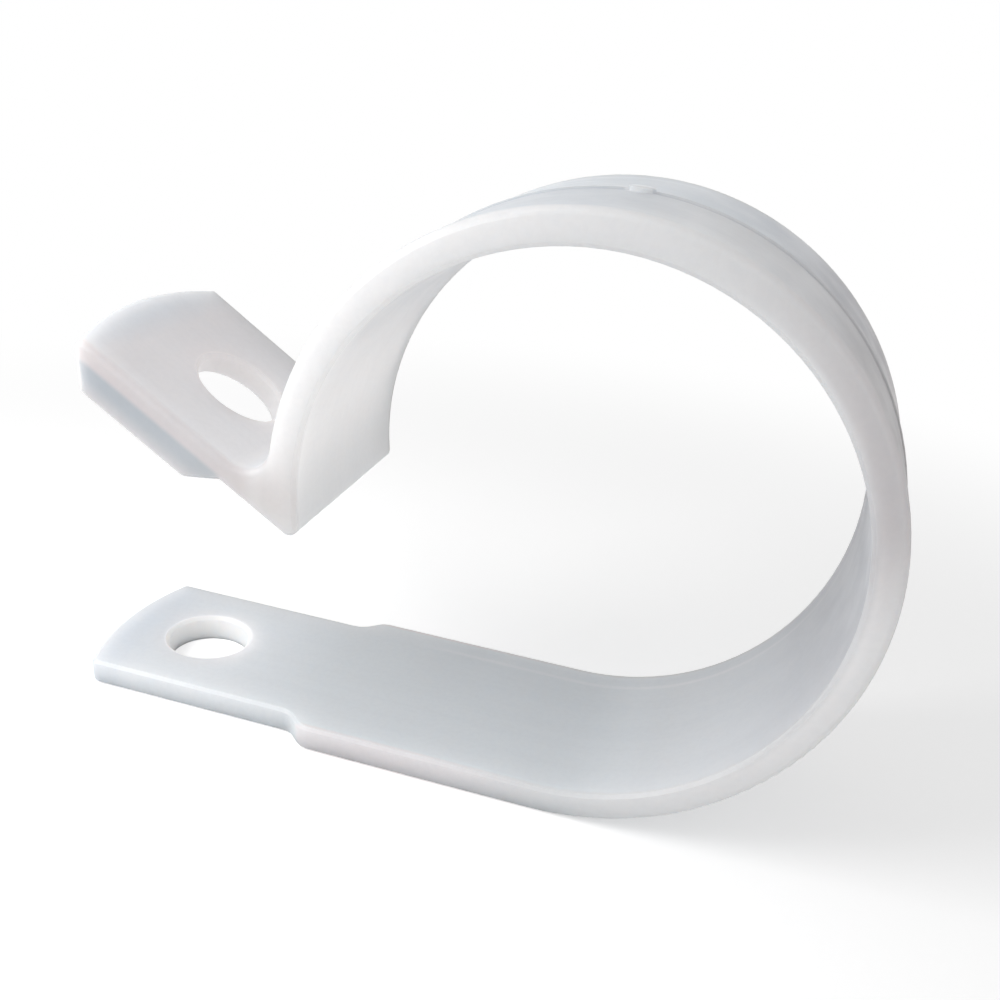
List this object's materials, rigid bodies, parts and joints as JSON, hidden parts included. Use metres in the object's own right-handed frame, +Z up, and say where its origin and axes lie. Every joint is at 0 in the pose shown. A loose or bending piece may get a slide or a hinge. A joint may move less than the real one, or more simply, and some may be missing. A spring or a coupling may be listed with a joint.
{
  "type": "cable clamp",
  "caption": "Open moulded nylon P-clip: a round cable loop between a flat strap with a screw hole and a slanted fixing tab with side skirts.",
  "frame": {"origin": "centre of the strap's screw hole, on the seating face under the strap", "axes": "+X from the strap's screw hole towards the loop, Y along the cable, +Z up out of the seating face"},
  "size_m": [0.0428, 0.0126, 0.0301],
  "materials": {
    "nylon": "satin, milky and translucent"
  },
  "bodies": {
    "root": {"cable_clamp": "nylon"}
  },
  "joints": []
}
